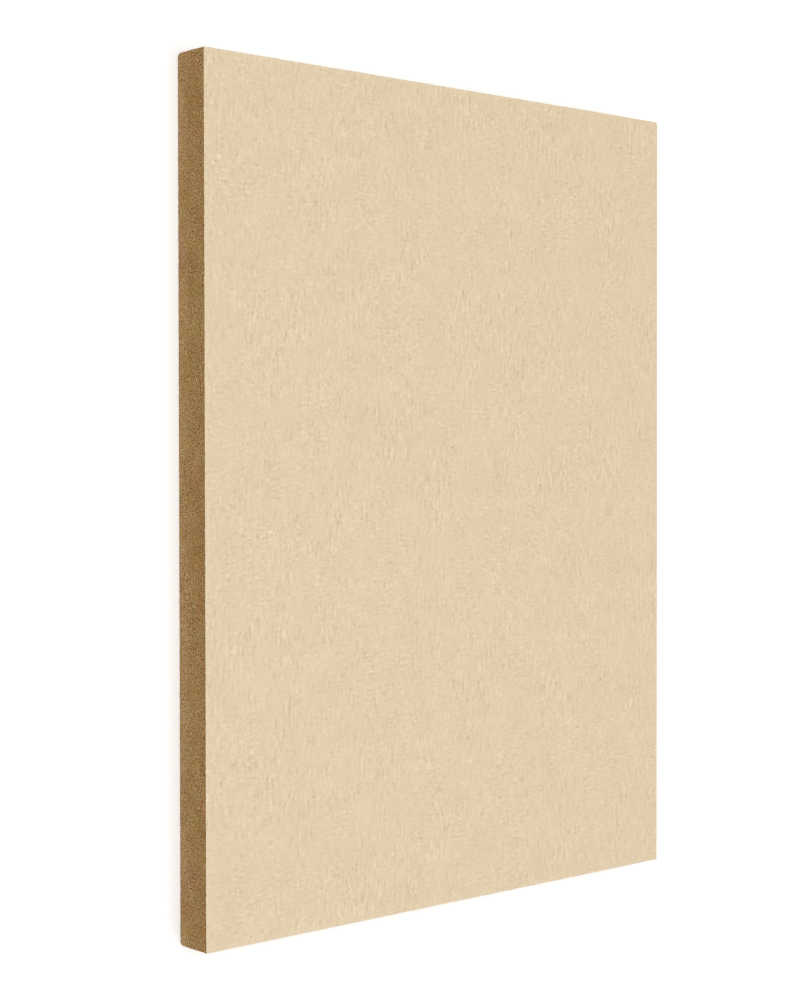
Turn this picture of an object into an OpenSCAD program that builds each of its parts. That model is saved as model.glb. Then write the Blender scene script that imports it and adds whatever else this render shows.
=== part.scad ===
// MDF board: a rectangular panel sawn from a pressed wood-fibre sheet.
//
// One piece of stock. It lies flat with its smooth sanded face up.
// X runs along the length, Y across the width and Z through the gauge.
// The origin is the centre of the lower face, so the board rests on z = 0.

/* [Board] */
// Length of the board, along X
board_l = 400; // [200:5:1220]
// Width of the board, along Y
board_w = 300; // [100:5:600]
// Gauge: the thickness between the two pressed faces, along Z
board_t = 20; // [9:1:30]

/* [Edges] */
// Easing radius of the arrises round the upper, sanded face
top_ease_r = 0.4; // [0.2:0.1:1.5]
// Easing radius of the arrises round the lower face
bottom_ease_r = 0.3; // [0.2:0.1:1.5]
// Easing radius of the four upright corners, seen from above
corner_r = 0.4; // [0.2:0.1:6]

/* [Finish] */
// Colour of the board
board_colour = "burlywood"; // [burlywood, tan, wheat]

/* [Hidden] */
// Segments on each full turn of an eased arris
ease_fn = 64;
// How far each section runs past the board before the sections are crossed
past = 5;

// Plan outline with its four corners eased, centred on the origin.
module plan_outline(l, w, r) {
    difference() {
        square([l, w], center = true);
        for (sx = [-1, 1], sy = [-1, 1])
            translate([sx * (l / 2 - r), sy * (w / 2 - r)])
                corner_waste(r, sx, sy);
    }
}

// Cross-section of the board, standing on y = 0 and centred on x = 0:
// the radius rt eases its two upper corners, and rb its two lower ones.
module edge_section(w, t, rt, rb) {
    difference() {
        translate([-w / 2, 0]) square([w, t]);
        for (sx = [-1, 1]) {
            translate([sx * (w / 2 - rt), t - rt]) corner_waste(rt, sx, 1);
            translate([sx * (w / 2 - rb), rb]) corner_waste(rb, sx, -1);
        }
    }
}

// What an easing of radius r takes off a square corner. The arc's centre is
// at the origin, and sx and sy say which way the corner points.
module corner_waste(r, sx, sy) {
    difference() {
        translate([sx > 0 ? 0 : -r - 1, sy > 0 ? 0 : -r - 1])
            square([r + 1, r + 1]);
        circle(r = r, $fn = ease_fn);
    }
}

// The board: its plan, its long section and its cross section, crossed with
// one another, so that every face stays flat and every arris stays round.
module board() {
    color(board_colour)
    intersection() {
        // Plan, through the gauge
        translate([0, 0, -past])
            linear_extrude(height = board_t + 2 * past)
                plan_outline(board_l, board_w, corner_r);
        // Section of the two long arris pairs, along X
        rotate([90, 0, 90])
            translate([0, 0, -board_l / 2 - past])
                linear_extrude(height = board_l + 2 * past)
                    edge_section(board_w, board_t, top_ease_r, bottom_ease_r);
        // Section of the two short arris pairs, along Y
        rotate([90, 0, 0])
            translate([0, 0, -board_w / 2 - past])
                linear_extrude(height = board_w + 2 * past)
                    edge_section(board_l, board_t, top_ease_r, bottom_ease_r);
    }
}

board();
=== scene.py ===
import math

import bpy
import numpy as np
from mathutils import Matrix, Vector
from mathutils.geometry import delaunay_2d_cdt


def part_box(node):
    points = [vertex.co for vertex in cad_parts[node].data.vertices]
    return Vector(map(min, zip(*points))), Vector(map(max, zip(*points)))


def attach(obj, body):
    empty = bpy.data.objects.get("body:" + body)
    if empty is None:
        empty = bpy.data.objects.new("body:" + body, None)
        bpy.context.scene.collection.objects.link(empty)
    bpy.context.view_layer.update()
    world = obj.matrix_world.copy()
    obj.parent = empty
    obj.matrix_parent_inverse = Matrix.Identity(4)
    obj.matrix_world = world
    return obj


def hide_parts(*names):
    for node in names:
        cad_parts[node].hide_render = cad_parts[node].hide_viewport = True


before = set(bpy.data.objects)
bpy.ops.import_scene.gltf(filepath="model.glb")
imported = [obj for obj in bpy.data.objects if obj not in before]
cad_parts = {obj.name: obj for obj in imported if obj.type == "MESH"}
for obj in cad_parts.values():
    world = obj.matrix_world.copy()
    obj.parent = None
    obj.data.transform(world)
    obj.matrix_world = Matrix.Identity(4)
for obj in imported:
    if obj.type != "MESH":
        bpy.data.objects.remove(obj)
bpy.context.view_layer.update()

MM = 0.001
lo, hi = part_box("board")
HALF_L = (hi[0] - lo[0]) / 2 / MM  # X
HALF_W = (hi[1] - lo[1]) / 2 / MM  # Y
GAUGE = (hi[2] - lo[2]) / MM       # Z
MID = np.array([(hi[0] + lo[0]) / 2, (hi[1] + lo[1]) / 2, lo[2]]) / MM

# ---------------------------------------------------------------- camera
scene = bpy.context.scene
cam_data = bpy.data.cameras.new("camera")
cam_data.sensor_fit = "AUTO"
cam_data.sensor_width = 36.0
cam_data.lens = 70.378
cam_data.shift_y = -0.01164
cam_data.clip_start = 0.01
cam_data.clip_end = 100.0
camera = bpy.data.objects.new("camera", cam_data)
scene.collection.objects.link(camera)
cam_at = Vector((-0.02181, -0.64791, 0.71776))
ahead = Vector((0.016477, 0.659414, -0.751600)).normalized()
above = Vector((-0.999864, 0.011751, -0.011610))
above = (above - ahead * above.dot(ahead)).normalized()
right = ahead.cross(above)
turn = Matrix((right, above, -ahead)).transposed()
camera.matrix_world = Matrix.Translation(cam_at) @ turn.to_4x4()
scene.camera = camera


# ---------------------------------------------------------------- noise for the mesh
def lattice(seed, shape):
    return np.random.default_rng(seed).normal(size=shape)


def noise3(points, size, seed):
    """Smooth gradient noise at points (n, 3), with features about size mm across, from -1 to 1."""
    size = np.broadcast_to(np.asarray(size, float), (3,))
    p = points / size + 1000.5
    cell = np.floor(p).astype(int)
    f = p - cell
    fade = f * f * f * (f * (f * 6 - 15) + 10)
    table = lattice(seed, (4096, 3))
    table /= np.linalg.norm(table, axis=1, keepdims=True)
    out = np.zeros(len(p))
    for dx in (0, 1):
        for dy in (0, 1):
            for dz in (0, 1):
                c = cell + (dx, dy, dz)
                h = (c[:, 0] * 73856093) ^ (c[:, 1] * 19349663) ^ (c[:, 2] * 83492791) ^ (seed * 2654435)
                g = table[(h ^ (h >> 13)) % 4096]
                w = (
                    np.where(dx, fade[:, 0], 1 - fade[:, 0])
                    * np.where(dy, fade[:, 1], 1 - fade[:, 1])
                    * np.where(dz, fade[:, 2], 1 - fade[:, 2])
                )
                out += w * (g * (f - (dx, dy, dz))).sum(1)
    return out * 1.6


# ---------------------------------------------------------------- the board's mesh
R_TOP = 0.35     # arris round the upper face
R_BOTTOM = 0.2   # arris round the lower face
R_PLAN = 0.4     # upright corners
STEP = 0.76      # spacing of the sawn edges' grid
COARSE = 4.0     # spacing of the faces' grid
# How far each of the eight corners is knocked round, (sx, sy, top?): mm
KNOCKED = {
    (-1, -1, 0): 2.6, (1, -1, 0): 2.0, (-1, 1, 0): 1.8, (1, 1, 0): 2.4,
    (-1, -1, 1): 0.6, (1, -1, 1): 0.6, (-1, 1, 1): 2.3, (1, 1, 1): 1.0,
}


def plan_loop(inset=0.0):
    """The plan outline, anticlockwise from above: points, outward normals, and arc length along the outermost outline."""
    pts, nrm = [], []
    hx, hy, r = HALF_L, HALF_W, R_PLAN
    corners = [(-1, -1), (1, -1), (1, 1), (-1, 1)]
    for k, (sx, sy) in enumerate(corners):
        cx, cy = sx * (hx - r), sy * (hy - r)
        start = math.atan2(-1 if k in (0, 1) else 1, 0)
        a0 = {0: math.pi, 1: 1.5 * math.pi, 2: 0.0, 3: 0.5 * math.pi}[k]
        for i in range(5):
            a = a0 + i / 4 * math.pi / 2
            n = (math.cos(a), math.sin(a))
            pts.append((cx + r * n[0], cy + r * n[1]))
            nrm.append(n)
        nx, ny = corners[(k + 1) % 4]
        ex, ey = nx * (hx - r), ny * (hy - r)
        a1 = a0 + math.pi / 2
        n = (math.cos(a1), math.sin(a1))
        length = math.hypot(ex - cx, ey - cy)
        count = int(round(length / STEP))
        for i in range(1, count):
            t = i / count
            pts.append((cx + (ex - cx) * t + r * n[0], cy + (ey - cy) * t + r * n[1]))
            nrm.append(n)
    pts, nrm = np.array(pts), np.array(nrm)
    step = np.linalg.norm(np.roll(pts, -1, 0) - pts, axis=1)
    return pts, nrm, np.concatenate([[0], np.cumsum(step)[:-1]]), step.sum()


def profile():
    """Rows from the upper face over the arris, down the sawn edge and on to the lower face.
    Each is (distance in from the plan outline, height, how much it is sawn edge, wall weight)."""
    rows = []
    t = GAUGE
    for inset in (2.2, 1.1, 0.5):
        rows.append((R_TOP + inset, t, 0.0, 0.0))
    for i in range(5):
        a = i / 4 * math.pi / 2
        rows.append((R_TOP - R_TOP * math.sin(a), t - R_TOP + R_TOP * math.cos(a), i / 4, i / 4))
    n = int(round((t - R_TOP - R_BOTTOM) / STEP))
    for i in range(1, n):
        rows.append((0.0, t - R_TOP - (t - R_TOP - R_BOTTOM) * i / n, 1.0, 1.0))
    for i in range(5):
        a = i / 4 * math.pi / 2
        rows.append((R_BOTTOM - R_BOTTOM * math.cos(a), R_BOTTOM - R_BOTTOM * math.sin(a), 1 - i / 4, 1 - i / 4))
    for inset in (0.5, 1.1, 2.2):
        rows.append((R_BOTTOM + inset, 0.0, 0.0, 0.0))
    return np.array(rows)


loop, normal, arc, girth = plan_loop()
rows = profile()
N, M = len(loop), len(rows)
print("board grid", N, "x", M, "=", N * M * 2, "triangles on the edges")

# Positions of the strip, (M, N, 3)
inset = rows[:, 0][:, None, None]
strip = np.empty((M, N, 3))
flat_in = np.maximum(rows[:, 0] - np.where(rows[:, 1] > GAUGE / 2, R_TOP, R_BOTTOM), 0)
arc_in = rows[:, 0] - flat_in
# Past the arris the rows on the faces are scaled in as a rectangle, so that they stay even at the corners.
for j in range(M):
    x = loop - normal * arc_in[j]
    hx, hy = HALF_L, HALF_W
    if flat_in[j] > 0:
        sc = np.array([(hx - R_TOP - flat_in[j]) / (hx - R_TOP), (hy - R_TOP - flat_in[j]) / (hy - R_TOP)])
        x = x * sc
    strip[j, :, :2] = x
    strip[j, :, 2] = rows[j, 1]
flat_xy = strip[:, :, :2].copy()
plain = strip.reshape(-1, 3).copy()  # every point before the relief

# Relief of the sawn edges: inwards from the CAD's plane, never past it
pts = strip.reshape(-1, 3)
wall = np.repeat(rows[:, 3], N).reshape(M, N)
fuzz = (
    0.55 * noise3(pts, (1.5, 1.5, 1.2), 11)
    + 0.35 * noise3(pts, (3.2, 3.2, 2.0), 12)
    + 0.25 * noise3(pts, (9.0, 9.0, 4.0), 13)
).reshape(M, N)
# saw marks: shallow bands across the thickness, leaning a little, whose depth comes and goes
lean = 0.9
along = arc[None, :] + lean * (strip[:, :, 2] - GAUGE / 2) * 0.12 + 0.004 * (strip[:, :, 2] - GAUGE / 2) ** 2
bands = np.sin(along * 2 * math.pi / 2.7 + 1.5 * np.sin(along * 0.11)) * (0.5 + 0.5 * np.sin(along * 0.043 + 1.0))
depth = 0.055 - 0.10 * fuzz - 0.012 * bands

# pits where a bundle of fibre has come away
rng = np.random.default_rng(5)
heights = strip[:, 0, 2]
wall_rows = np.where(rows[:, 3] >= 1.0)[0]
count = int(girth * GAUGE * 0.055)
pit = np.zeros((M, N))
pu = rng.uniform(0, girth, count)
pv = rng.uniform(0.6, GAUGE - 0.6, count)
pr = rng.uniform(0.45, 1.05, count)
pd = rng.uniform(0.3, 1.0, count) ** 1.5
pe = rng.uniform(1.0, 2.2, count)
for u, v, r, d, e in zip(pu, pv, pr, pd, pe):
    jj = wall_rows[np.abs(heights[wall_rows] - v) < 2 * r]
    du = arc - u
    ii = np.where(np.abs(du) < 2 * r * e)[0]
    if len(jj) == 0 or len(ii) == 0:
        continue
    q = (du[ii][None, :] / (r * e)) ** 2 + ((heights[jj][:, None] - v) / r) ** 2
    pit[np.ix_(jj, ii)] = np.maximum(pit[np.ix_(jj, ii)], d * np.exp(-q * 1.6))
depth = depth + 0.24 * pit
depth = np.clip(depth, 0.0, 0.42)
strip[:, :, 0] -= normal[None, :, 0] * depth * wall
strip[:, :, 1] -= normal[None, :, 1] * depth * wall

# the arrises: a hair of unevenness, and a few bruises
bruise = np.clip(noise3(np.stack([arc, 0 * arc, 0 * arc + 3.0], 1), 5.0, 21) - 0.45, 0, 1)
ridge = np.exp(-((rows[:, 0][:, None] + np.abs(rows[:, 1][:, None] - GAUGE)) / (R_TOP * 1.2)) ** 2)
ridge_low = np.exp(-((rows[:, 0][:, None] + rows[:, 1][:, None]) / (R_BOTTOM * 1.4)) ** 2)
nick = 0.03 * np.clip(noise3(np.stack([arc, 0 * arc, 0 * arc], 1), 1.4, 22), 0, 1) + 0.10 * bruise
push = ridge * nick[None, :]
strip[:, :, 2] -= push
strip[:, :, 0] -= normal[None, :, 0] * push
strip[:, :, 1] -= normal[None, :, 1] * push
nick2 = 0.10 * np.clip(noise3(np.stack([arc, 0 * arc + 9, 0 * arc], 1), 2.0, 23), 0, 1)
push = ridge_low * nick2[None, :]
strip[:, :, 2] += push
strip[:, :, 0] -= normal[None, :, 0] * push
strip[:, :, 1] -= normal[None, :, 1] * push

sawn = np.repeat(rows[:, 2], N)
# the pits' depth, kept to paint shade into the sawn edge's colour
pits = (pit * wall).ravel()
verts = [strip.reshape(-1, 3)]
faces = []
idx = np.arange(M * N).reshape(M, N)
nxt = np.roll(idx, -1, 1)
quads = np.stack([idx[:-1], idx[1:], nxt[1:], nxt[:-1]], -1).reshape(-1, 4)
faces = [tuple(q) for q in quads.tolist()]
strip_faces = len(faces)


def face_fill(ring_ids, z, flip, offset):
    """Fills a face inside its ring: graded points, joined by a constrained Delaunay triangulation."""
    ring = verts[0][ring_ids][:, :2]
    hx, hy = np.abs(ring[:, 0]).max(), np.abs(ring[:, 1]).max()
    inner = []
    for d, s in ((1.3, 1.4), (3.2, 2.6)):
        ax, ay = hx - d, hy - d
        nx, ny = int(round(2 * ax / s)), int(round(2 * ay / s))
        gx, gy = np.linspace(-ax, ax, nx + 1), np.linspace(-ay, ay, ny + 1)
        inner += [(x, -ay) for x in gx] + [(x, ay) for x in gx] + [(-ax, y) for y in gy[1:-1]] + [(ax, y) for y in gy[1:-1]]
    ax, ay = hx - 6.4, hy - 6.4
    nx, ny = int(round(2 * ax / COARSE)), int(round(2 * ay / COARSE))
    gx, gy = np.linspace(-ax, ax, nx + 1), np.linspace(-ay, ay, ny + 1)
    X, Y = np.meshgrid(gx, gy)
    X = X + np.where(np.arange(Y.shape[0])[:, None] % 2, 0.25, -0.25) * (2 * ax / nx)
    X = np.clip(X, -ax, ax)
    inner += list(zip(X.ravel(), Y.ravel()))
    pts2 = [Vector(p) for p in ring.tolist()] + [Vector(p) for p in inner]
    n = len(ring)
    edges = [(i, (i + 1) % n) for i in range(n)]
    out_v, _, out_f, orig_v, _, _ = delaunay_2d_cdt(pts2, edges, [], 1, 1e-5)
    ids = []
    extra = []
    for k, p in enumerate(out_v):
        old = [o for o in orig_v[k] if o < n]
        if old:
            ids.append(int(ring_ids[old[0]]))
        else:
            ids.append(offset + len(extra))
            extra.append((p[0], p[1], z))
    made = []
    for f in out_f:
        f = [ids[i] for i in f]
        made.append(f)
    return np.array(extra), made


def oriented(tris, allv, up):
    out = []
    for f in tris:
        a, b, c = allv[f[0]], allv[f[1]], allv[f[2]]
        s = (b[0] - a[0]) * (c[1] - a[1]) - (b[1] - a[1]) * (c[0] - a[0])
        if (s > 0) != up:
            f = f[::-1]
        out.append(tuple(f))
    return out


top_extra, top_f = face_fill(idx[0], GAUGE, False, M * N)
allv = np.concatenate([verts[0], top_extra])
low_extra, low_f = face_fill(idx[-1], 0.0, True, len(allv))
allv = np.concatenate([allv, low_extra])
top_f = oriented(top_f, allv, True)
low_f = oriented(low_f, allv, False)
sawn = np.concatenate([sawn, np.zeros(len(allv) - len(sawn))])
pits = np.concatenate([pits, np.zeros(len(allv) - len(pits))])

# ---- the map its maps are drawn on: the two faces side by side, and the four edges in strips below them
GAP = 2.3                                   # room round each island, mm
down = np.concatenate([[0], np.cumsum(np.hypot(np.diff(rows[:, 0]), np.diff(rows[:, 1])))])
T0, T1 = 3, 6                               # where the upper arris starts, and where the map is cut on it
B0, B1 = M - 4, M - 6                       # and the same for the lower one
HALF_U = HALF_W + 0.4
SHEET = 4 * HALF_U + 3 * GAP                # the whole map's side, mm


def on_face(j):
    """Row j of the strip, rolled out flat round its face."""
    if rows[j, 1] > GAUGE / 2:
        first, r, rolled = T0, R_TOP, down[j] - down[T0]
    else:
        first, r, rolled = B0, R_BOTTOM, down[B0] - down[j]
    if flat_in[j] > 0:
        return flat_xy[j]
    return loop - normal * (r - rolled)


def placed(xy, top):
    """A face's own x and y, turned to stand upright on the map."""
    x, y = xy[..., 0], xy[..., 1]
    u = (GAP + HALF_U - y) if top else (2 * GAP + 3 * HALF_U + y)
    return np.stack([u, SHEET - GAP - (HALF_L + 0.4) + x], -1)


low_v = SHEET - 2 * GAP - 2 * (HALF_L + 0.4)  # the top of the strips' part
STRIP = (low_v - GAP) / 4 - GAP                # each strip's height on the map
middle = [k for k in range(N) if abs(abs(normal[k, 0]) - abs(normal[k, 1])) < 1e-6]
ends = middle + [middle[0] + N]
u_row = np.zeros((N, 2))                       # where each column interval starts and ends, along its strip
v_base = np.zeros(N)
for k in range(4):
    a, b = ends[k], ends[k + 1]
    at = np.concatenate([arc, arc + girth, [2 * girth]])[a: b + 1]
    at = GAP + (at - at[0]) / (at[-1] - at[0]) * (SHEET - 2 * GAP)
    here = np.arange(a, b) % N
    u_row[here, 0], u_row[here, 1] = at[:-1], at[1:]
    v_base[here] = low_v - (k + 1) * (STRIP + GAP)
quad_uv = np.zeros((M - 1, N, 4, 2))
for j in range(M - 1):
    if j < T1 or j >= B1:
        top = j < T1
        a, b = placed(on_face(j), top), placed(on_face(j + 1), top)
        quad_uv[j] = np.stack([a, b, np.roll(b, -1, 0), np.roll(a, -1, 0)], 1)
    else:
        a, b = ((down[B1] - down[[j, j + 1]]) / (down[B1] - down[T1]) * STRIP)
        quad_uv[j, :, :, 0] = np.stack([u_row[:, 0], u_row[:, 0], u_row[:, 1], u_row[:, 1]], 1)
        quad_uv[j, :, :, 1] = v_base[:, None] + np.array([a, b, b, a])
flat_top = np.concatenate([on_face(0), np.zeros((M * N - N, 2)), top_extra[:, :2], np.zeros((len(low_extra), 2))])
flat_low = np.concatenate([np.zeros((M * N - N, 2)), on_face(M - 1), np.zeros((len(top_extra), 2)), low_extra[:, :2]])
top_uv = placed(flat_top[np.array([i for f in top_f for i in f])], True)
low_uv = placed(flat_low[np.array([i for f in low_f for i in f])], False)
corner_uv = np.concatenate([quad_uv.reshape(-1, 2), top_uv, low_uv]) / SHEET

# knocked corners: a ball that just touches the three arrises cuts the corner off
for (sx, sy, top), r in KNOCKED.items():
    q = np.array([sx * (HALF_L - r), sy * (HALF_W - r), GAUGE - r if top else r])
    v = (allv - q) * np.array([sx, sy, 1 if top else -1])
    d = np.linalg.norm(v, axis=1)
    ball = math.sqrt(2) * r * 0.985
    hit = (v > 0).all(1) & (d > ball)
    allv[hit] = q + (allv[hit] - q) * (ball / d[hit])[:, None]

allv = allv + MID
mesh = bpy.data.meshes.new("mdf_board")
mesh.from_pydata((allv * MM).tolist(), [], faces + top_f + low_f)
mesh.validate()
mesh.update()
assert len(mesh.loops) == len(corner_uv)
mesh.uv_layers.new(name="OFBake").uv.foreach_set("vector", corner_uv.astype(np.float32).ravel())
board = bpy.data.objects.new("mdf_board", mesh)
scene.collection.objects.link(board)
for p in mesh.polygons:
    p.use_smooth = True
a = mesh.attributes.new("sawn", "FLOAT", "POINT")
a.data.foreach_set("value", sawn.astype(np.float32))
a = mesh.attributes.new("pit", "FLOAT", "POINT")
a.data.foreach_set("value", pits.astype(np.float32))
a = mesh.attributes.new("plain", "FLOAT_VECTOR", "POINT")
a.data.foreach_set("vector", np.concatenate([plain, allv[len(plain):] - MID]).astype(np.float32).ravel())
# how near the edge of a face: 1 on the arris, falling away over about a millimetre; the face's colour is painted
# lighter there, a painted highlight along the arris
off = np.abs(allv - MID)
near = np.minimum(HALF_L - off[:, 0], HALF_W - off[:, 1])
painted_arris_highlight = np.exp(-np.maximum(near - 0.3, 0) / 0.8)
a = mesh.attributes.new("painted_arris_highlight", "FLOAT", "POINT")
a.data.foreach_set("value", painted_arris_highlight.astype(np.float32))
print("triangles", sum(len(p.vertices) - 2 for p in mesh.polygons))

# ---------------------------------------------------------------- material
def lin(r, g, b):
    return tuple(((c / 255) / 12.92 if c / 255 <= 0.04045 else ((c / 255 + 0.055) / 1.055) ** 2.4) for c in (r, g, b))


class Nodes:
    """Short hands for building a node tree: every call returns an output socket."""

    def __init__(self, tree, flat=False):
        self.t = tree
        self.flat = flat

    def put(self, socket, value):
        if isinstance(value, bpy.types.NodeSocket):
            self.t.links.new(value, socket)
        elif value is not None:
            socket.default_value = value

    def calc(self, op, a, b=None, c=None, clamp=False):
        n = self.t.nodes.new("ShaderNodeMath")
        n.operation = op
        n.use_clamp = clamp
        for i, v in enumerate((a, b, c)):
            self.put(n.inputs[i], v)
        return n.outputs[0]

    def add(self, *values):
        out = values[0]
        for v in values[1:]:
            out = self.calc("ADD", out, v)
        return out

    def mul(self, *values):
        out = values[0]
        for v in values[1:]:
            out = self.calc("MULTIPLY", out, v)
        return out

    def vec(self, op, a, b=None, scale=None):
        n = self.t.nodes.new("ShaderNodeVectorMath")
        n.operation = op
        self.put(n.inputs[0], a)
        if b is not None:
            self.put(n.inputs[1], b)
        if scale is not None:
            self.put(n.inputs["Scale"], scale)
        return n.outputs["Value"] if op in ("LENGTH", "DOT_PRODUCT", "DISTANCE") else n.outputs[0]

    def xyz(self, v):
        n = self.t.nodes.new("ShaderNodeSeparateXYZ")
        self.put(n.inputs[0], v)
        return n.outputs[0], n.outputs[1], n.outputs[2]

    def rgb(self, v):
        n = self.t.nodes.new("ShaderNodeSeparateColor")
        self.put(n.inputs[0], v)
        return n.outputs[0], n.outputs[1], n.outputs[2]

    def join(self, x, y, z):
        n = self.t.nodes.new("ShaderNodeCombineXYZ")
        for i, v in enumerate((x, y, z)):
            self.put(n.inputs[i], v)
        return n.outputs[0]

    def noise(self, v, detail=2.0, rough=0.5, colour=False, lacunarity=2.0):
        n = self.t.nodes.new("ShaderNodeTexNoise")
        n.noise_dimensions = "2D" if self.flat else "3D"
        self.put(n.inputs["Vector"], v)
        n.inputs["Scale"].default_value = 1.0
        n.inputs["Detail"].default_value = detail
        n.inputs["Roughness"].default_value = rough
        n.inputs["Lacunarity"].default_value = lacunarity
        return n.outputs[1] if colour else n.outputs[0]

    def smooth(self, v, low, high, to0=0.0, to1=1.0):
        n = self.t.nodes.new("ShaderNodeMapRange")
        n.interpolation_type = "SMOOTHSTEP"
        n.clamp = True
        for name, x in (("Value", v), ("From Min", low), ("From Max", high), ("To Min", to0), ("To Max", to1)):
            self.put(n.inputs[name], x)
        return n.outputs[0]

    def linear(self, v, low, high, to0=0.0, to1=1.0, clamp=True):
        n = self.t.nodes.new("ShaderNodeMapRange")
        n.interpolation_type = "LINEAR"
        n.clamp = clamp
        for name, x in (("Value", v), ("From Min", low), ("From Max", high), ("To Min", to0), ("To Max", to1)):
            self.put(n.inputs[name], x)
        return n.outputs[0]

    def mixf(self, f, a, b):
        n = self.t.nodes.new("ShaderNodeMix")
        n.data_type = "FLOAT"
        self.put(n.inputs[0], f)
        self.put(n.inputs[2], a)
        self.put(n.inputs[3], b)
        return n.outputs[0]

    def mixc(self, f, a, b, blend="MIX"):
        n = self.t.nodes.new("ShaderNodeMix")
        n.data_type = "RGBA"
        n.blend_type = blend
        self.put(n.inputs[0], f)
        self.put(n.inputs[6], a if isinstance(a, bpy.types.NodeSocket) else tuple(a) + (1.0,))
        self.put(n.inputs[7], b if isinstance(b, bpy.types.NodeSocket) else tuple(b) + (1.0,))
        return n.outputs[2]

    def ramp(self, v, stops):
        n = self.t.nodes.new("ShaderNodeValToRGB")
        n.color_ramp.interpolation = "LINEAR"
        while len(n.color_ramp.elements) < len(stops):
            n.color_ramp.elements.new(0.5)
        for e, (at, colour) in zip(n.color_ramp.elements, stops):
            e.position = at
            e.color = tuple(colour) + (1.0,)
        self.put(n.inputs[0], v)
        return n.outputs[0]

    def scaled(self, v, size, offset=(0, 0, 0)):
        """v in millimetres, to cells of the given size."""
        n = self.t.nodes.new("ShaderNodeVectorMath")
        n.operation = "MULTIPLY_ADD"
        self.put(n.inputs[0], v)
        n.inputs[1].default_value = tuple(1.0 / s for s in size)
        n.inputs[2].default_value = offset
        return n.outputs[0]

    def voronoi(self, v, flat=False):
        n = self.t.nodes.new("ShaderNodeTexVoronoi")
        n.voronoi_dimensions = "2D" if flat else "3D"
        n.feature = "F1"
        n.distance = "EUCLIDEAN"
        self.put(n.inputs["Vector"], v)
        n.inputs["Scale"].default_value = 1.0
        n.inputs["Randomness"].default_value = 1.0
        return n.outputs["Distance"], n.outputs["Color"], n.outputs["Position"]

    def fibres(self, p, cell, half, width, offset):
        """One fibre in each cell: a capsule that lies flat in the board, at its own angle, length and shade.
        Returns how much of one is here, from 0 to 1, and its shade from -1 to 1."""
        flat = len(cell) == 2
        cell = tuple(cell) + ((1.0,) if flat else ())
        v = self.scaled(p, cell, offset)
        _, colour, centre = self.voronoi(v, flat)
        r, g, b = self.rgb(colour)
        d = self.vec("MULTIPLY", self.vec("SUBTRACT", v, centre), cell[:2] + ((0.0,) if flat else cell[2:]))
        n = self.t.nodes.new("ShaderNodeVectorRotate")
        n.rotation_type = "Z_AXIS"
        self.put(n.inputs["Vector"], d)
        self.put(n.inputs["Angle"], self.calc("MULTIPLY", r, math.pi))
        x, y, z = self.xyz(n.outputs[0])
        long = self.calc("MAXIMUM", self.calc("SUBTRACT", self.calc("ABSOLUTE", x), self.calc("MULTIPLY_ADD", g, half, half * 0.4)), 0.0)
        dist = self.vec("LENGTH", self.join(long, y, z))
        there = self.smooth(dist, width, width * 0.35)
        return there, self.calc("MULTIPLY_ADD", b, 2.0, -1.0)

    def peaks(self, n):
        """Noise turned into marks: near nothing about its middle, and -1 or 1 at its dark and light peaks."""
        t = self.calc("SUBTRACT", n, 0.5)
        steep = self.calc("MAXIMUM", self.calc("SUBTRACT", self.calc("ABSOLUTE", t), 0.045), 0.0)
        return self.calc("MINIMUM", self.calc("MAXIMUM", self.mul(t, steep, 26.0), -1.0), 1.0)

    def dashes(self, v, cell, offset, reach):
        """One blob of the cell's proportions in each cell, its size and shade its own: from -1, dark, to 1, light."""
        d, colour, _ = self.voronoi(self.scaled(v, tuple(cell) + (1.0,), offset), True)
        r, g, b = self.rgb(colour)
        there = self.smooth(d, self.calc("MULTIPLY_ADD", r, reach * 0.6, reach * 0.4), 0.04)
        return self.mul(there, self.calc("MULTIPLY_ADD", b, 2.0, -1.1))


def material(name, flat=False):
    m = bpy.data.materials.new(name)
    m.use_nodes = True
    b = m.node_tree.nodes["Principled BSDF"]
    g = Nodes(m.node_tree, flat)
    coords = m.node_tree.nodes.new("ShaderNodeTexCoord").outputs["Object"]
    return m, b, g, g.vec("SCALE", coords, scale=1000.0)  # millimetres


def attribute(g, name):
    n = g.t.nodes.new("ShaderNodeAttribute")
    n.attribute_name = name
    return n.outputs["Fac"]


def bumped(g, b, height):
    """Height in millimetres."""
    n = g.t.nodes.new("ShaderNodeBump")
    n.inputs["Strength"].default_value = 1.0
    n.inputs["Distance"].default_value = 0.001
    g.put(n.inputs["Height"], height)
    g.put(b.inputs["Normal"], n.outputs[0])


# ---- the two pressed and sanded faces: pale, with fine flecks of fibre
FACE = lin(204.5, 185.4, 155.0)
FACE_K = 0.190
face_mat, bsdf, g, P3 = material("mdf_face", flat=True)
fx, fy, fz = g.xyz(P3)
lower = g.calc("LESS_THAN", fz, GAUGE / 2)
P = g.join(g.calc("MULTIPLY_ADD", lower, 731.0, fx), g.calc("MULTIPLY_ADD", lower, 517.0, fy), 0.0)
wob = g.vec("SUBTRACT", g.noise(g.scaled(P, (13.0, 13.0, 4.0)), 1.0, 0.5, colour=True), (0.5, 0.5, 0.5))
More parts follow.
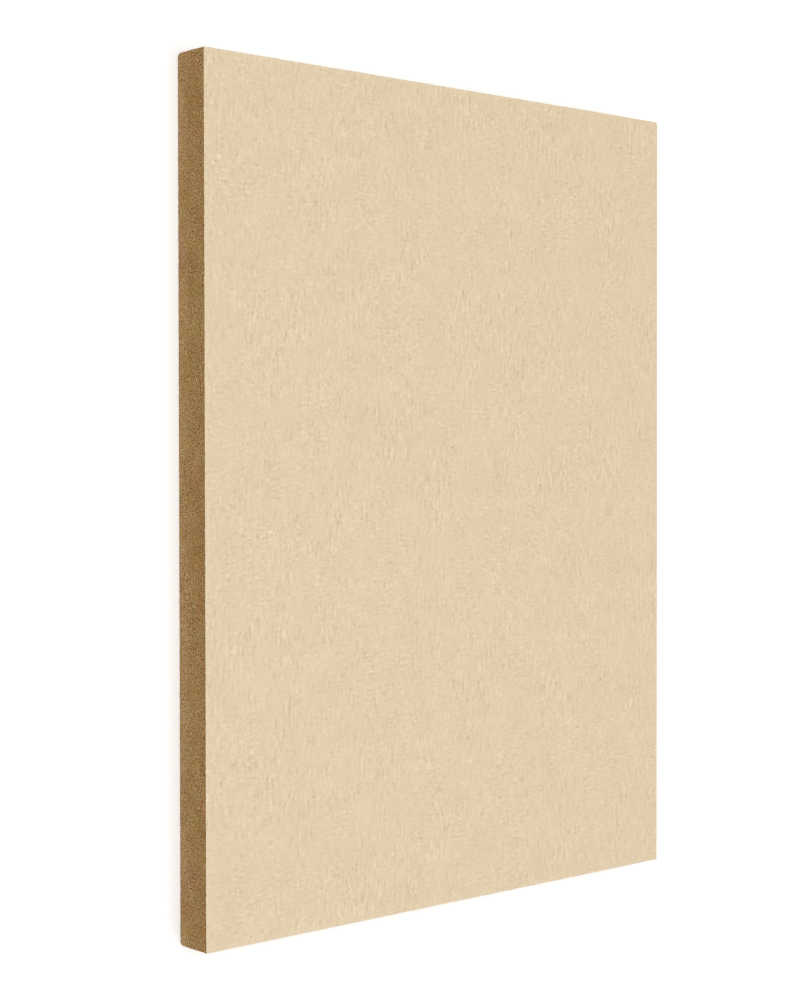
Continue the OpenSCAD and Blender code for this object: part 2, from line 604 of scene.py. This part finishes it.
# where the marks crowd, and which way they run there
busy = g.smooth(g.noise(g.scaled(P, (34.0, 25.0, 1.0), (5.0, 3.0, 0)), 1.0, 0.5), 0.36, 0.60, 0.70, 1.0)
busy = g.mul(busy, g.smooth(g.noise(g.scaled(P, (9.0, 8.0, 1.0), (2.0, 6.0, 0)), 0.0, 0.5), 0.38, 0.58, 0.62, 1.0))
run = g.smooth(g.noise(g.scaled(P, (52.0, 30.0, 30.0), (1.0, 8.0, 3.0)), 1.0, 0.5), 0.42, 0.57)
Q = g.vec("ADD", g.vec("SCALE", wob, scale=g.linear(run, 0.0, 1.0, 1.2, 0.6)), P)
along = g.mul(busy, g.linear(run, 0.0, 1.0, 0.45, 1.0))
across = g.mul(busy, g.linear(run, 0.0, 1.0, 0.95, 0.30))
ridge_x = g.peaks(g.noise(g.scaled(Q, (6.4, 1.60, 1.0), (4.0, 2.0, 6.0)), 1.0, 0.50))
ridge_y = g.peaks(g.noise(g.scaled(Q, (1.25, 4.0, 1.0), (8.0, 3.0, 2.0)), 1.0, 0.50))
maze = g.peaks(g.noise(g.scaled(P, (1.70, 1.55, 1.0), (5.0, 9.0, 2.0)), 1.0, 0.50))
marks = g.add(
    g.mul(ridge_x, along, 0.48),
    g.mul(ridge_y, across, 0.43),
    g.mul(maze, busy, 0.35),
    g.mul(g.dashes(Q, (5.5, 2.3), (13.7, 2.9, 0), 0.48), along, 0.33),
    g.mul(g.dashes(P, (2.1, 2.1), (17.3, 4.3, 0), 0.40), busy, 0.42),
)
grain = g.calc("SUBTRACT", g.noise(g.scaled(P, (0.9, 0.8, 0.8)), 1.0, 0.6), 0.5)
patch = g.calc("SUBTRACT", g.noise(g.scaled(P, (23.0, 18.0, 10.0), (2.0, 5.0, 1.0)), 3.0, 0.85), 0.5)
# the face is painted lighter along its arris: a painted highlight
face_h = g.add(marks, g.mul(grain, 0.07), g.mul(patch, 0.60), g.mul(attribute(g, "painted_arris_highlight"), 0.16))
face_h = g.add(face_h, g.mul(g.calc("MINIMUM", g.add(face_h, 0.20), 0.0), 0.30))
green = g.smooth(g.noise(g.scaled(P, (13.0, 11.0, 7.0), (6.0, 6.0, 6.0)), 1.0, 0.5), 0.55, 0.70)
face_v = g.vec("MULTIPLY_ADD", g.join(face_h, face_h, face_h), (FACE_K * 0.965, FACE_K * 1.235, FACE_K * 1.395))
wide = g.vec("MULTIPLY_ADD", g.join(patch, patch, patch), (FACE_K * 0.05, FACE_K * -0.075, FACE_K * 0.02))
wide.node.inputs[2].default_value = (1.0, 1.0, 1.0)
g.put(face_v.node.inputs[2], wide)
fhue = g.noise(g.scaled(P, (9.5, 8.0, 4.0), (3.0, 1.0, 9.0)), 2.0, 0.6, colour=True)
fhue = g.vec("MULTIPLY_ADD", fhue, (0.028, 0.030, 0.062))
fhue.node.inputs[2].default_value = (0.986, 0.985, 0.969)
tint = g.vec("MULTIPLY_ADD", g.join(green, green, green), (-0.010, 0.0, -0.003))
g.put(tint.node.inputs[2], fhue)
face_c = g.vec("MULTIPLY", g.vec("MULTIPLY", face_v, FACE), tint)
# rare dark specks of bark and resin
sd, sc, _ = g.voronoi(g.scaled(P, (9.0, 9.0, 2.0), (1.5, 1.5, 1.5)), flat=True)
sr, sg, sb = g.rgb(sc)
spot = g.mul(g.smooth(g.mul(sd, 9.0), g.calc("MULTIPLY_ADD", sg, 0.45, 0.35), 0.15), g.smooth(sr, 0.70, 0.90), g.calc("MULTIPLY_ADD", sb, 0.4, 0.15))
face_c = g.mixc(g.mul(spot, 0.6), face_c, lin(150, 122, 84))
g.put(bsdf.inputs["Base Color"], face_c)
g.put(bsdf.inputs["Roughness"], g.calc("MULTIPLY_ADD", face_h, -0.06, 0.58))
bsdf.inputs["Specular IOR Level"].default_value = 0.30
cheap = g.noise(g.scaled(P, (0.7, 0.55, 0.6), (1.0, 1.0, 1.0)), 1.0, 0.5)
bumped(g, bsdf, g.mul(cheap, 0.012))
mesh.materials.append(face_mat)

# ---- the sawn edges: darker, with torn fibre, pits and pale fibre ends
EDGE = np.array([145.4, 113.3, 68.5])
EDGE_D = 43.0
EDGE_HUE = (16.5, 18.4, 20.3)
edge_mat, bsdf, g, P = material("mdf_edge")
ex, ey, ez = g.xyz(P)
pit_painted_shade = attribute(g, "pit")
wob = g.vec("SUBTRACT", g.noise(g.scaled(P, (4.5, 4.5, 4.5)), 1.0, 0.5, colour=True), (0.5, 0.5, 0.5))
Q = g.vec("MULTIPLY_ADD", wob, (2.4, 2.4, 1.2))
g.put(Q.node.inputs[2], P)
fb, tb = g.fibres(Q, (2.8, 2.8, 1.1), 1.2, 0.42, (11.3, 2.9, 5.7))
edge_busy = g.smooth(g.noise(g.scaled(P, (8.0, 8.0, 6.0), (7.0, 2.0, 4.0)), 1.0, 0.5), 0.36, 0.60, 0.60, 1.0)
flat_p = edge_mat.node_tree.nodes.new("ShaderNodeAttribute")
flat_p.attribute_name = "plain"
# the cells' sizes put all four sawn planes on the noise's own lattice, where it is finest
speck = g.calc("SUBTRACT", g.noise(g.scaled(flat_p.outputs["Vector"], (2 / 3, 2 / 3, 0.75), (3.0, 9.0, 2.0)), 0.0, 0.5), 0.5)
edge_fine = g.mul(speck, g.calc("MULTIPLY_ADD", g.calc("ABSOLUTE", speck), 13.2, 1.85))
edge_fine = g.calc("SUBTRACT", edge_fine, g.mul(speck, speck, 9.0))

# thin dark and pale lines, where a noise crosses its middle, broken up by another noise
wiggle = g.vec("SUBTRACT", g.noise(g.scaled(P, (1.6, 1.6, 1.2), (2.0, 7.0, 3.0)), 0.0, 0.5, colour=True), (0.5, 0.5, 0.5))
W = g.vec("MULTIPLY_ADD", wiggle, (1.2, 1.2, 0.9))
g.put(W.node.inputs[2], P)


def thread(offset, gate):
    n = g.calc("SUBTRACT", g.noise(g.scaled(W, (2.6, 2.6, 0.85), offset), 0.0, 0.5), 0.5)
    part = g.smooth(g.noise(g.scaled(P, (2.6, 2.6, 1.2), gate), 0.0, 0.5), 0.38, 0.55)
    return g.mul(g.smooth(g.calc("ABSOLUTE", n), 0.060, 0.0), part)


threads = g.calc("SUBTRACT", thread((4.0, 4.0, 1.0), (8.0, 3.0, 3.0)), thread((1.0, 5.0, 7.0), (2.0, 6.0, 1.0)))
edge_maze = g.smooth(g.noise(g.scaled(Q, (2.3, 2.3, 1.2), (6.0, 1.0, 5.0)), 1.0, 0.55), 0.33, 0.67, -0.5, 0.5)
edge_patch = g.calc("SUBTRACT", g.noise(g.scaled(P, (14.0, 14.0, 9.0), (5.0, 1.0, 7.0)), 1.0, 0.5), 0.5)
edge_h = g.add(
    g.mul(g.add(edge_fine, g.mul(edge_maze, 0.24), g.mul(threads, 0.58), g.mul(fb, tb, 0.25)), edge_busy),
    g.mul(edge_patch, 0.57),
    # painted shade: the sawn edge's colour is darker in its pits
    g.mul(pit_painted_shade, -0.22),
    0.04,
)
# painted light: the sawn edge is painted a little paler towards the lower face, standing in for light bounced up off
# the floor; it is also yellower towards the upper one
fade = g.ramp(g.calc("DIVIDE", ez, GAUGE), [
    (0.0, (0.656, 0.664, 0.688)), (0.07, (0.664, 0.672, 0.695)), (0.12, (0.702, 0.688, 0.708)), (0.17, (0.633, 0.630, 0.642)),
    (0.22, (0.591, 0.595, 0.598)), (0.32, (0.550, 0.553, 0.545)), (0.42, (0.494, 0.502, 0.488)), (0.52, (0.480, 0.478, 0.473)),
    (0.67, (0.472, 0.473, 0.470)), (0.77, (0.428, 0.416, 0.394)), (0.84, (0.416, 0.398, 0.372)), (1.0, (0.391, 0.409, 0.400)),
])
fade = g.vec("SCALE", g.vec("SUBTRACT", fade, (0.5, 0.5, 0.5)), scale=64.0)
ehue = g.vec("SUBTRACT", g.noise(g.scaled(P, (6.2, 6.2, 5.0), (1.0, 2.0, 9.0)), 2.0, 0.45, colour=True), (0.5, 0.5, 0.5))
edge_c = g.vec("MULTIPLY", g.join(edge_h, edge_h, edge_h), (EDGE_D * 0.87, EDGE_D * 0.985, EDGE_D * 1.19))
edge_c = g.vec("ADD", g.vec("ADD", g.vec("MULTIPLY", ehue, EDGE_HUE), edge_c), fade)
# shades are counted in steps of 255, and turned into reflectance here
edge_c = g.vec("MULTIPLY_ADD", edge_c, (1 / 269.0,) * 3)
edge_c.node.inputs[2].default_value = tuple((EDGE + 14.0) / 269.0)
edge_c = g.vec("MAXIMUM", edge_c, (0.14, 0.12, 0.10))
gamma = edge_mat.node_tree.nodes.new("ShaderNodeGamma")
gamma.inputs["Gamma"].default_value = 2.4
g.put(gamma.inputs["Color"], edge_c)
g.put(bsdf.inputs["Base Color"], gamma.outputs[0])
g.put(bsdf.inputs["Roughness"], g.calc("MULTIPLY_ADD", edge_h, -0.05, 0.90, clamp=True))
bsdf.inputs["Specular IOR Level"].default_value = 0.25
cheap = g.noise(g.scaled(P, (0.7, 0.7, 0.55), (3.0, 9.0, 2.0)), 2.0, 0.6)
bumped(g, bsdf, g.mul(cheap, 0.30))
mesh.materials.append(edge_mat)

# which faces are sawn: the border runs along the middle of each arris, and strays a little from it
top_mid = int(np.where((rows[:, 2] > 0.49) & (rows[:, 1] > GAUGE / 2))[0][0])
low_mid = int(np.where((rows[:, 2] > 0.24) & (rows[:, 1] < GAUGE / 2))[0][-1])
stray = noise3(np.stack([arc, 0 * arc, 0 * arc + 7.0], 1), 1.3, 31)
top_from = top_mid + (stray > 0.62) - (stray < -0.62)
stray = noise3(np.stack([arc, 0 * arc, 0 * arc + 17.0], 1), 1.3, 32)
low_to = low_mid + (stray > 0.62) - (stray < -0.62)
row_of = np.repeat(np.arange(M - 1), N).reshape(M - 1, N)
is_sawn = ((row_of >= top_from[None, :]) & (row_of < low_to[None, :])).ravel().astype(np.int32)
kinds = np.zeros(len(mesh.polygons), np.int32)
kinds[: len(is_sawn)] = is_sawn
mesh.polygons.foreach_set("material_index", kinds)

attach(board, "root")
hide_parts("board")

# ---------------------------------------------------------------- floor and light
fmesh = bpy.data.meshes.new("floor")
n = 96
ring = [(1.2 * math.cos(2 * math.pi * i / n), 1.2 * math.sin(2 * math.pi * i / n), 0) for i in range(n)]
fmesh.from_pydata(ring, [], [tuple(range(n))])
floor = bpy.data.objects.new("floor", fmesh)
scene.collection.objects.link(floor)
fmat = bpy.data.materials.new("floor")
fmat.use_nodes = True
fb = fmat.node_tree.nodes["Principled BSDF"]
fb.inputs["Base Color"].default_value = (0.93, 0.93, 0.93, 1)
fb.inputs["Roughness"].default_value = 0.9
fb.inputs["Specular IOR Level"].default_value = 0.2
fb.inputs["Emission Color"].default_value = (1.0, 1.0, 1.0, 1)
fb.inputs["Emission Strength"].default_value = 0.10
fmesh.materials.append(fmat)


def area(name, at, towards, size, power):
    d = bpy.data.lights.new(name, "AREA")
    d.shape = "DISK"
    d.size = size
    d.energy = power
    o = bpy.data.objects.new(name, d)
    scene.collection.objects.link(o)
    o.location = at
    o.rotation_mode = "QUATERNION"
    o.rotation_quaternion = (Vector(towards) - Vector(at)).to_track_quat("-Z", "Y")
    return o


area("key", (-0.8, -1.3, 3.1), (0, 0, 0), 3.4, 84)
area("fill", (1.1, 1.3, 3.1), (0, 0, 0), 3.0, 56)

world = bpy.data.worlds.new("world")
scene.world = world
world.use_nodes = True
wn = world.node_tree
bg = wn.nodes["Background"]
tc = wn.nodes.new("ShaderNodeTexCoord")
sep = wn.nodes.new("ShaderNodeSeparateXYZ")
ramp = wn.nodes.new("ShaderNodeValToRGB")
wn.links.new(tc.outputs["Generated"], sep.inputs[0])
wn.links.new(sep.outputs["Z"], ramp.inputs[0])
ramp.color_ramp.elements[0].position = 0.20
ramp.color_ramp.elements[0].color = (1.0, 1.0, 1.0, 1)
ramp.color_ramp.elements[1].position = 0.50
ramp.color_ramp.elements[1].color = (0.30, 0.30, 0.30, 1)
wn.links.new(ramp.outputs[0], bg.inputs[0])
bg.inputs[1].default_value = 1.0

scene.cycles.max_bounces = 4
scene.cycles.diffuse_bounces = 3
scene.view_settings.view_transform = "Standard"
scene.view_settings.look = "None"
scene.view_settings.exposure = 0.0
scene.view_settings.gamma = 1.0
